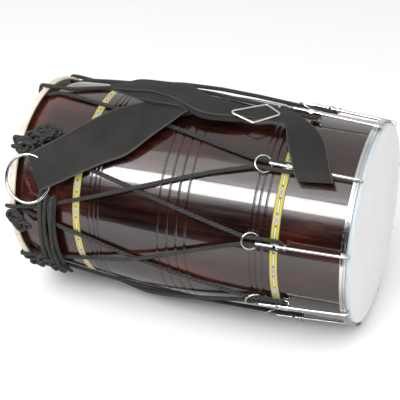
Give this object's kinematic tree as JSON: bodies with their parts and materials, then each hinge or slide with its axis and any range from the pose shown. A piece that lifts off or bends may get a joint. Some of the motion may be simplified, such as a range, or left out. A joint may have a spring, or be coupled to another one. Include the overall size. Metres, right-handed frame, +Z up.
{
  "type": "dhol drum",
  "caption": "Rope-laced wooden barrel drum with two heads, sliding tuning rings, turning nuts on hooked rods, and a folded shoulder strap on a ring.",
  "frame": {"origin": "centre of the bounding box on the floor plane", "axes": "+X along the drum towards the treble head, +Z up, -Y towards the viewer of the picture"},
  "size_m": [0.5941, 0.3672, 0.3856],
  "materials": {
    "lacquered_wood": "high-gloss red-brown lacquer",
    "ribbon": "woven ribbon",
    "drumhead_film": "coated film",
    "flesh_hoop_metal": "plain",
    "bright_plating": "bright plating",
    "hide": "untanned hide",
    "hoop_steel": "plain",
    "rope": "braided cord",
    "strap_webbing": "soft woven strap"
  },
  "bodies": {
    "drum": {"barrel_shell": "lacquered_wood", "ribbon_bass": "ribbon", "ribbon_treble": "ribbon", "treble_head": "drumhead_film", "flesh_hoop": "flesh_hoop_metal", "counterhoop": "bright_plating", "bass_head": "hide", "bass_hoop": "hoop_steel", "lacing_rope": "rope", "nut_washers": "bright_plating", "rope_links": "bright_plating", "shoulder_strap": "strap_webbing", "strap_buckle": "bright_plating", "spare_rope_winding": "rope", "rope_hitches": "rope"},
    "strap_ring": {"strap_ring": "bright_plating"},
    "hook_0": {"tension_hook_0": "bright_plating"},
    "nut_0": {"tuning_nut_0": "bright_plating"},
    "ring_0": {"tuning_ring_0": "bright_plating"},
    "hook_1": {"tension_hook_1": "bright_plating"},
    "nut_1": {"tuning_nut_1": "bright_plating"},
    "ring_1": {"tuning_ring_1": "bright_plating"},
    "hook_2": {"tension_hook_2": "bright_plating"},
    "nut_2": {"tuning_nut_2": "bright_plating"},
    "ring_2": {"tuning_ring_2": "bright_plating"},
    "hook_3": {"tension_hook_3": "bright_plating"},
    "nut_3": {"tuning_nut_3": "bright_plating"},
    "ring_3": {"tuning_ring_3": "bright_plating"},
    "hook_4": {"tension_hook_4": "bright_plating"},
    "nut_4": {"tuning_nut_4": "bright_plating"},
    "ring_4": {"tuning_ring_4": "bright_plating"},
    "hook_5": {"tension_hook_5": "bright_plating"},
    "nut_5": {"tuning_nut_5": "bright_plating"},
    "ring_5": {"tuning_ring_5": "bright_plating"},
    "hook_6": {"tension_hook_6": "bright_plating"},
    "nut_6": {"tuning_nut_6": "bright_plating"},
    "ring_6": {"tuning_ring_6": "bright_plating"},
    "hook_7": {"tension_hook_7": "bright_plating"},
    "nut_7": {"tuning_nut_7": "bright_plating"},
    "ring_7": {"tuning_ring_7": "bright_plating"},
    "hook_8": {"tension_hook_8": "bright_plating"},
    "nut_8": {"tuning_nut_8": "bright_plating"},
    "ring_8": {"tuning_ring_8": "bright_plating"}
  },
  "joints": [
    {"name": "strap_ring_spin", "type": "hinge", "parent": "drum", "child": "strap_ring", "pos_m": [-0.25, -0.16613, 0.25096], "axis": [0, -0.9291, 0.3697], "continuous": true},
    {"name": "nut_turn_0", "type": "hinge", "parent": "drum", "child": "nut_0", "pos_m": [0.17975, 0, 0.36624], "axis": [0.9972, 0, -0.075], "range_deg": [0, 3600]},
    {"name": "hook_slide_0", "type": "slide", "parent": "drum", "child": "hook_0", "axis": [0.9972, 0, -0.075], "range_m": [0, 0.008]},
    {"name": "ring_slide_0", "type": "slide", "parent": "drum", "child": "ring_0", "axis": [0.9991, 0, -0.0416], "range_m": [-0.004, 0.012]},
    {"name": "nut_turn_1", "type": "hinge", "parent": "drum", "child": "nut_1", "pos_m": [0.17975, -0.1166, 0.32381], "axis": [0.9972, 0.0482, -0.0574], "range_deg": [0, 3600]},
    {"name": "hook_slide_1", "type": "slide", "parent": "drum", "child": "hook_1", "axis": [0.9972, 0.0482, -0.0574], "range_m": [0, 0.008]},
    {"name": "ring_slide_1", "type": "slide", "parent": "drum", "child": "ring_1", "axis": [0.9991, 0.0267, -0.0318], "range_m": [-0.004, 0.012]},
    {"name": "nut_turn_2", "type": "hinge", "parent": "drum", "child": "nut_2", "pos_m": [0.17975, -0.17864, 0.21635], "axis": [0.9972, 0.0738, -0.013], "range_deg": [0, 3600]},
    {"name": "hook_slide_2", "type": "slide", "parent": "drum", "child": "hook_2", "axis": [0.9972, 0.0738, -0.013], "range_m": [0, 0.008]},
    {"name": "ring_slide_2", "type": "slide", "parent": "drum", "child": "ring_2", "axis": [0.9991, 0.0409, -0.0072], "range_m": [-0.004, 0.012]},
    {"name": "nut_turn_3", "type": "hinge", "parent": "drum", "child": "nut_3", "pos_m": [0.17975, -0.15709, 0.09415], "axis": [0.9972, 0.0649, 0.0375], "range_deg": [0, 3600]},
    {"name": "hook_slide_3", "type": "slide", "parent": "drum", "child": "hook_3", "axis": [0.9972, 0.0649, 0.0375], "range_m": [0, 0.008]},
    {"name": "ring_slide_3", "type": "slide", "parent": "drum", "child": "ring_3", "axis": [0.9991, 0.036, 0.0208], "range_m": [-0.004, 0.012]},
    {"name": "nut_turn_4", "type": "hinge", "parent": "drum", "child": "nut_4", "pos_m": [0.17975, -0.06204, 0.0144], "axis": [0.9972, 0.0256, 0.0705], "range_deg": [0, 3600]},
    {"name": "hook_slide_4", "type": "slide", "parent": "drum", "child": "hook_4", "axis": [0.9972, 0.0256, 0.0705], "range_m": [0, 0.008]},
    {"name": "ring_slide_4", "type": "slide", "parent": "drum", "child": "ring_4", "axis": [0.9991, 0.0142, 0.0391], "range_m": [-0.004, 0.012]},
    {"name": "nut_turn_5", "type": "hinge", "parent": "drum", "child": "nut_5", "pos_m": [0.17975, 0.06204, 0.0144], "axis": [0.9972, -0.0256, 0.0705], "range_deg": [0, 3600]},
    {"name": "hook_slide_5", "type": "slide", "parent": "drum", "child": "hook_5", "axis": [0.9972, -0.0256, 0.0705], "range_m": [0, 0.008]},
    {"name": "ring_slide_5", "type": "slide", "parent": "drum", "child": "ring_5", "axis": [0.9991, -0.0142, 0.0391], "range_m": [-0.004, 0.012]},
    {"name": "nut_turn_6", "type": "hinge", "parent": "drum", "child": "nut_6", "pos_m": [0.17975, 0.15709, 0.09415], "axis": [0.9972, -0.0649, 0.0375], "range_deg": [0, 3600]},
    {"name": "hook_slide_6", "type": "slide", "parent": "drum", "child": "hook_6", "axis": [0.9972, -0.0649, 0.0375], "range_m": [0, 0.008]},
    {"name": "ring_slide_6", "type": "slide", "parent": "drum", "child": "ring_6", "axis": [0.9991, -0.036, 0.0208], "range_m": [-0.004, 0.012]},
    {"name": "nut_turn_7", "type": "hinge", "parent": "drum", "child": "nut_7", "pos_m": [0.17975, 0.17864, 0.21635], "axis": [0.9972, -0.0738, -0.013], "range_deg": [0, 3600]},
    {"name": "hook_slide_7", "type": "slide", "parent": "drum", "child": "hook_7", "axis": [0.9972, -0.0738, -0.013], "range_m": [0, 0.008]},
    {"name": "ring_slide_7", "type": "slide", "parent": "drum", "child": "ring_7", "axis": [0.9991, -0.0409, -0.0072], "range_m": [-0.004, 0.012]},
    {"name": "nut_turn_8", "type": "hinge", "parent": "drum", "child": "nut_8", "pos_m": [0.17975, 0.1166, 0.32381], "axis": [0.9972, -0.0482, -0.0574], "range_deg": [0, 3600]},
    {"name": "hook_slide_8", "type": "slide", "parent": "drum", "child": "hook_8", "axis": [0.9972, -0.0482, -0.0574], "range_m": [0, 0.008]},
    {"name": "ring_slide_8", "type": "slide", "parent": "drum", "child": "ring_8", "axis": [0.9991, -0.0267, -0.0318], "range_m": [-0.004, 0.012]}
  ],
  "couplings": [
    {"joint": "nut_turn_0", "follows": "hook_slide_0", "rad_per_m": 7854},
    {"joint": "nut_turn_1", "follows": "hook_slide_1", "rad_per_m": 7854},
    {"joint": "nut_turn_2", "follows": "hook_slide_2", "rad_per_m": 7854},
    {"joint": "nut_turn_3", "follows": "hook_slide_3", "rad_per_m": 7854},
    {"joint": "nut_turn_4", "follows": "hook_slide_4", "rad_per_m": 7854},
    {"joint": "nut_turn_5", "follows": "hook_slide_5", "rad_per_m": 7854},
    {"joint": "nut_turn_6", "follows": "hook_slide_6", "rad_per_m": 7854},
    {"joint": "nut_turn_7", "follows": "hook_slide_7", "rad_per_m": 7854},
    {"joint": "nut_turn_8", "follows": "hook_slide_8", "rad_per_m": 7854}
  ]
}
